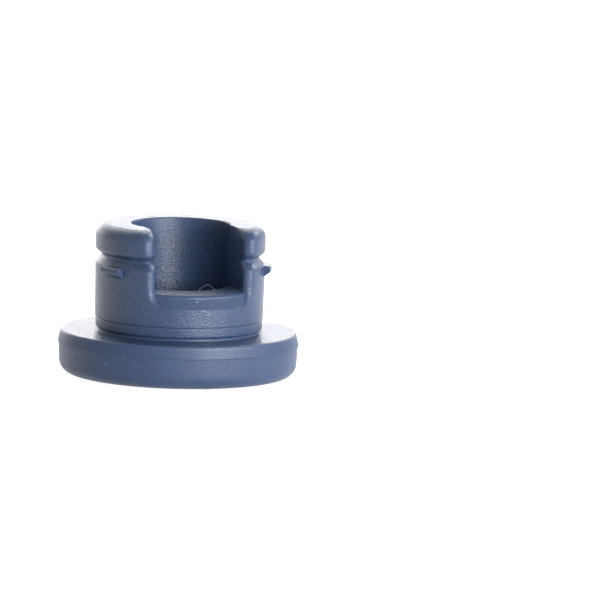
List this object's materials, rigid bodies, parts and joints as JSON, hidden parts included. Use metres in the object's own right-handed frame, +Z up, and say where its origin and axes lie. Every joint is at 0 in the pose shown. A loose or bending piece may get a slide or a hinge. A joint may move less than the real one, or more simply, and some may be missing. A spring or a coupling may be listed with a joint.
{
  "type": "rubber stopper",
  "caption": "Round rubber stopper with a flange, a hollow plug with a sealing bead and a broad side vent, for closing a vial after freeze-drying.",
  "frame": {"origin": "middle of the surface the stopper stands on: the plane of the crests of the raised marks on its target face", "axes": "+Z up the plug, away from the flange; the vent opens towards -Y"},
  "size_m": [0.019, 0.019, 0.0121],
  "materials": {
    "rubber": "satin, moulded, finely grained"
  },
  "bodies": {
    "root": {"stopper": "rubber"}
  },
  "joints": []
}
